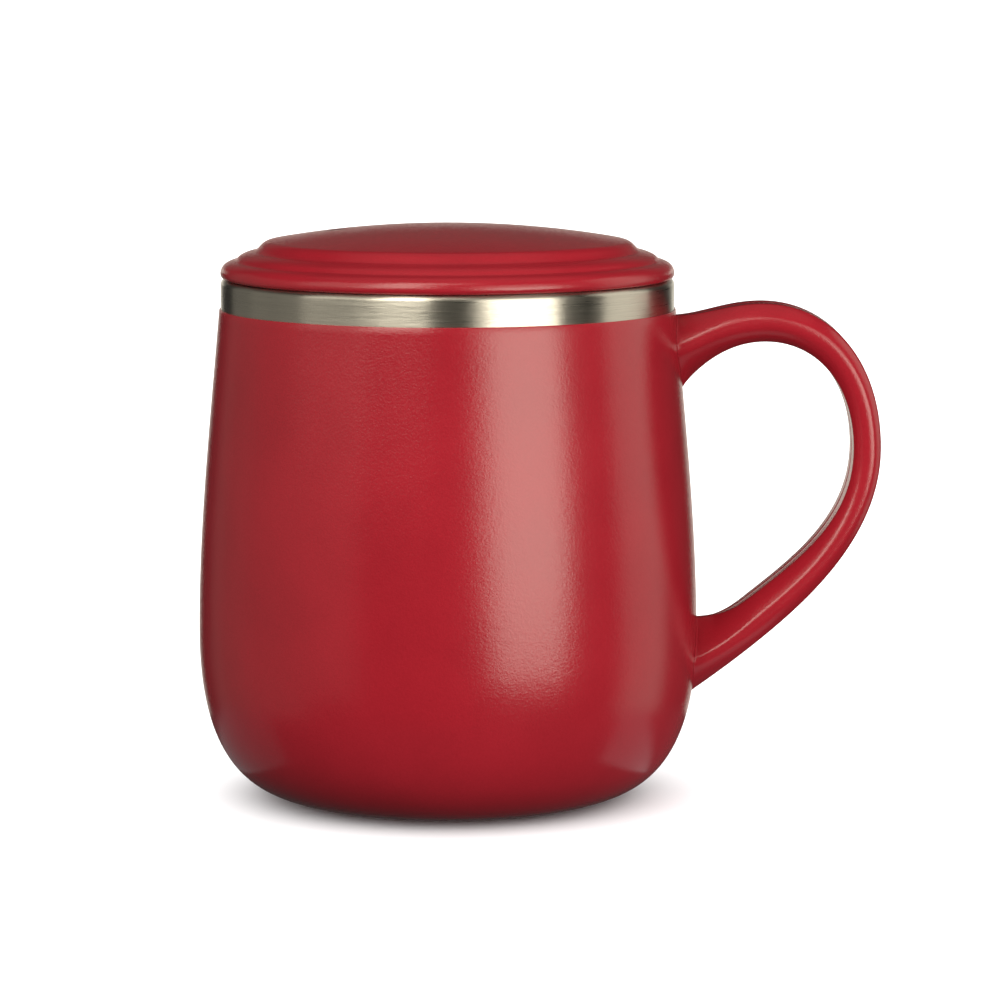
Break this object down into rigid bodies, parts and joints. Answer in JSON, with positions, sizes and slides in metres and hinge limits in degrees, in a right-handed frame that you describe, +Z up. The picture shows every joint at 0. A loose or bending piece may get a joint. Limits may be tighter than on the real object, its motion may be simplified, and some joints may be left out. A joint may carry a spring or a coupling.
{
  "type": "double-wall mug",
  "caption": "Double-wall coated steel mug with a bare rim band, loop handle and stepped push-in lid with a steam vent.",
  "frame": {"origin": "on the mug's axis in the plane the foot pad rests on", "axes": "+Z up along the mug's axis, +X towards the handle, so a right-handed drinker's side view looks along +Y"},
  "size_m": [0.1282, 0.094, 0.1079],
  "materials": {
    "red_coat": "satin powder coat with a fine orange-peel texture",
    "red_plastic": "satin with a fine grain",
    "band_steel": "brushed round the rim",
    "cup_steel": "satin",
    "solder": "dull",
    "getter_metal": "sintered, matt",
    "pad_rubber": "matt",
    "plug_plastic": "matt",
    "seal_rubber": "translucent silicone, matt"
  },
  "bodies": {
    "mug": {"inner_liner": "cup_steel", "rim_band": "band_steel", "outer_shell": "red_coat", "base_plate": "cup_steel", "vacuum_seal": "solder", "getter": "getter_metal", "foot_pad": "pad_rubber", "handle_front": "red_coat", "handle_rear": "red_coat"},
    "seal": {"lid_seal": "seal_rubber"},
    "lid": {"lid_cap": "red_plastic", "lid_plug": "plug_plastic"}
  },
  "joints": [
    {"name": "lid_lift", "type": "slide", "parent": "mug", "child": "seal", "axis": [0, 0, 1], "range_m": [0, 0.035]},
    {"name": "lid_turn", "type": "hinge", "parent": "seal", "child": "lid", "pos_m": [0, 0, 0.093], "axis": [0, 0, 1], "continuous": true}
  ]
}
